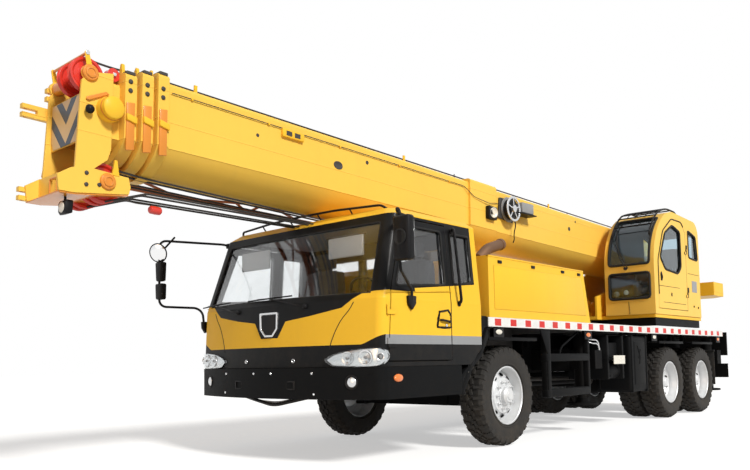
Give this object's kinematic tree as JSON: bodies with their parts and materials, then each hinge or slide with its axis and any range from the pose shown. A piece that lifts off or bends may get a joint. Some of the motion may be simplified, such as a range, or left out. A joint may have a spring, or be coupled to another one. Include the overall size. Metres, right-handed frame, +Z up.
{
  "type": "truck-mounted telescopic mobile crane",
  "caption": "Mobile crane: a truck carrier with front cab and outriggers, and a slewing superstructure with operator cab, winches and a telescopic boom.",
  "frame": {"origin": "on the ground under the middle of the overall bounding box", "axes": "+X forward toward the boom head, +Y to the left, +Z up"},
  "size_m": [12.2622, 3.16, 3.2036],
  "materials": {
    "black_paint": "satin",
    "brown_paint": "satin",
    "cast": "rough",
    "chrome": "gloss",
    "glass": "gloss",
    "grey_paint": "satin",
    "red_paint": "satin",
    "rim": "satin",
    "tyre": "matte",
    "upholstery": "matte",
    "yellow_paint": "gloss"
  },
  "bodies": {
    "carrier": {"chassis_frame": "black_paint", "deck": "black_paint", "front_bumper": "black_paint", "cab_shell": "yellow_paint", "cab_windows": "glass", "cab_interior": "upholstery", "cab_mirrors": "black_paint", "engine_block": "cast", "engine_cover": "yellow_paint", "front_axle": "cast", "rear_axles": "cast", "side_guards": "black_paint", "side_boxes": "black_paint", "outrigger_channels": "black_paint", "boom_rest": "yellow_paint"},
    "knuckle_left": {"steering_knuckle_left": "cast"},
    "knuckle_right": {"steering_knuckle_right": "cast"},
    "wheel_front_left": {"tyre_front_left": "tyre", "rim_front_left": "rim"},
    "wheel_front_right": {"tyre_front_right": "tyre", "rim_front_right": "rim"},
    "superstructure": {"turntable": "yellow_paint", "counterweight": "yellow_paint", "operator_cab": "yellow_paint", "operator_cab_windows": "glass", "operator_seat": "upholstery"},
    "drum_main": {"winch_drum_main": "grey_paint"},
    "drum_auxiliary": {"winch_drum_auxiliary": "grey_paint"},
    "luff_barrel": {"luff_barrel": "grey_paint"},
    "luff_rod": {"luff_rod": "chrome"},
    "boom_base": {"boom_base": "yellow_paint", "jib_lattice": "brown_paint", "hook_block": "yellow_paint"},
    "boom_section_2": {"boom_section_2": "yellow_paint"},
    "boom_section_3": {"boom_section_3": "yellow_paint"},
    "boom_section_4": {"boom_section_4": "yellow_paint", "head_sheaves": "red_paint", "jib_forks": "yellow_paint"},
    "door_left": {"cab_door_left": "yellow_paint", "cab_door_window_left": "glass"},
    "door_right": {"cab_door_right": "yellow_paint", "cab_door_window_right": "glass"},
    "operator_door": {"operator_door": "yellow_paint", "operator_door_window": "glass"},
    "wheels_rear_1_left": {"tyres_rear_1_left": "tyre", "rims_rear_1_left": "rim"},
    "wheels_rear_1_right": {"tyres_rear_1_right": "tyre", "rims_rear_1_right": "rim"},
    "wheels_rear_2_left": {"tyres_rear_2_left": "tyre", "rims_rear_2_left": "rim"},
    "wheels_rear_2_right": {"tyres_rear_2_right": "tyre", "rims_rear_2_right": "rim"},
    "beam_front_left": {"outrigger_beam_front_left": "yellow_paint"},
    "jack_front_left": {"outrigger_jack_front_left": "black_paint"},
    "beam_front_right": {"outrigger_beam_front_right": "yellow_paint"},
    "jack_front_right": {"outrigger_jack_front_right": "black_paint"},
    "beam_rear_left": {"outrigger_beam_rear_left": "yellow_paint"},
    "jack_rear_left": {"outrigger_jack_rear_left": "black_paint"},
    "beam_rear_right": {"outrigger_beam_rear_right": "yellow_paint"},
    "jack_rear_right": {"outrigger_jack_rear_right": "black_paint"}
  },
  "joints": [
    {"name": "slew", "type": "hinge", "parent": "carrier", "child": "superstructure", "pos_m": [-2.721, 0, 1.46], "axis": [0, 0, 1], "continuous": true},
    {"name": "luff", "type": "hinge", "parent": "superstructure", "child": "boom_base", "pos_m": [-4.371, 0, 2.42], "axis": [0, -1, 0], "range_deg": [0, 78.8]},
    {"name": "telescope_2", "type": "slide", "parent": "boom_base", "child": "boom_section_2", "axis": [0.9998, 0, 0.0209], "range_m": [0, 7.2]},
    {"name": "telescope_3", "type": "slide", "parent": "boom_section_2", "child": "boom_section_3", "axis": [0.9998, 0, 0.0209], "range_m": [0, 7.2]},
    {"name": "telescope_4", "type": "slide", "parent": "boom_section_3", "child": "boom_section_4", "axis": [0.9998, 0, 0.0209], "range_m": [0, 7.2]},
    {"name": "luff_barrel_pivot", "type": "hinge", "parent": "superstructure", "child": "luff_barrel", "pos_m": [-2.621, 0, 1.67], "axis": [0, -1, 0], "range_deg": [0, 87.02]},
    {"name": "luff_rod_slide", "type": "slide", "parent": "luff_barrel", "child": "luff_rod", "axis": [0.9909, 0, 0.1348], "range_m": [0, 2.336]},
    {"name": "steer_left", "type": "hinge", "parent": "carrier", "child": "knuckle_left", "pos_m": [1.729, 0.86, 0.522], "axis": [0, 0, 1], "range_deg": [-33, 33]},
    {"name": "steer_right", "type": "hinge", "parent": "carrier", "child": "knuckle_right", "pos_m": [1.729, -0.86, 0.522], "axis": [0, 0, 1], "range_deg": [-33, 33]},
    {"name": "roll_front_left", "type": "hinge", "parent": "knuckle_left", "child": "wheel_front_left", "pos_m": [1.729, 1.037, 0.522], "axis": [0, 1, 0], "continuous": true},
    {"name": "roll_front_right", "type": "hinge", "parent": "knuckle_right", "child": "wheel_front_right", "pos_m": [1.729, -1.037, 0.522], "axis": [0, 1, 0], "continuous": true},
    {"name": "roll_rear_1_left", "type": "hinge", "parent": "carrier", "child": "wheels_rear_1_left", "pos_m": [-2.696, 0.917, 0.522], "axis": [0, 1, 0], "continuous": true},
    {"name": "roll_rear_1_right", "type": "hinge", "parent": "carrier", "child": "wheels_rear_1_right", "pos_m": [-2.696, -0.917, 0.522], "axis": [0, 1, 0], "continuous": true},
    {"name": "roll_rear_2_left", "type": "hinge", "parent": "carrier", "child": "wheels_rear_2_left", "pos_m": [-4.046, 0.917, 0.522], "axis": [0, 1, 0], "continuous": true},
    {"name": "roll_rear_2_right", "type": "hinge", "parent": "carrier", "child": "wheels_rear_2_right", "pos_m": [-4.046, -0.917, 0.522], "axis": [0, 1, 0], "continuous": true},
    {"name": "cab_door_left_hinge", "type": "hinge", "parent": "carrier", "child": "door_left", "pos_m": [3.714, 1.255, 1.5], "axis": [0, 0, -1], "range_deg": [0, 62]},
    {"name": "cab_door_right_hinge", "type": "hinge", "parent": "carrier", "child": "door_right", "pos_m": [3.714, -1.255, 1.5], "axis": [0, 0, 1], "range_deg": [0, 62]},
    {"name": "operator_door_hinge", "type": "hinge", "parent": "superstructure", "child": "operator_door", "pos_m": [-3.461, 1.262, 2.2], "axis": [0, 0, 1], "range_deg": [0, 85]},
    {"name": "outrigger_front_left", "type": "slide", "parent": "carrier", "child": "beam_front_left", "axis": [0, 1, 0], "range_m": [0, 1.9]},
    {"name": "jack_front_left_slide", "type": "slide", "parent": "beam_front_left", "child": "jack_front_left", "axis": [0, 0, -1], "range_m": [0, 0.45]},
    {"name": "outrigger_front_right", "type": "slide", "parent": "carrier", "child": "beam_front_right", "axis": [0, -1, 0], "range_m": [0, 1.9]},
    {"name": "jack_front_right_slide", "type": "slide", "parent": "beam_front_right", "child": "jack_front_right", "axis": [0, 0, -1], "range_m": [0, 0.45]},
    {"name": "outrigger_rear_left", "type": "slide", "parent": "carrier", "child": "beam_rear_left", "axis": [0, 1, 0], "range_m": [0, 1.9]},
    {"name": "jack_rear_left_slide", "type": "slide", "parent": "beam_rear_left", "child": "jack_rear_left", "axis": [0, 0, -1], "range_m": [0, 0.45]},
    {"name": "outrigger_rear_right", "type": "slide", "parent": "carrier", "child": "beam_rear_right", "axis": [0, -1, 0], "range_m": [0, 1.9]},
    {"name": "jack_rear_right_slide", "type": "slide", "parent": "beam_rear_right", "child": "jack_rear_right", "axis": [0, 0, -1], "range_m": [0, 0.45]},
    {"name": "winch_main", "type": "hinge", "parent": "superstructure", "child": "drum_main", "pos_m": [-4.751, 0, 1.8], "axis": [0, 1, 0], "continuous": true},
    {"name": "winch_auxiliary", "type": "hinge", "parent": "superstructure", "child": "drum_auxiliary", "pos_m": [-5.146, 0, 2.38], "axis": [0, 1, 0], "continuous": true}
  ],
  "couplings": [
    {"joint": "telescope_4", "follows": "telescope_3", "ratio": 1},
    {"joint": "luff_barrel_pivot", "follows": "luff", "ratio": 1.1036},
    {"joint": "luff_rod_slide", "follows": "luff", "m_per_rad": 1.6972},
    {"joint": "steer_right", "follows": "steer_left", "ratio": 1}
  ]
}
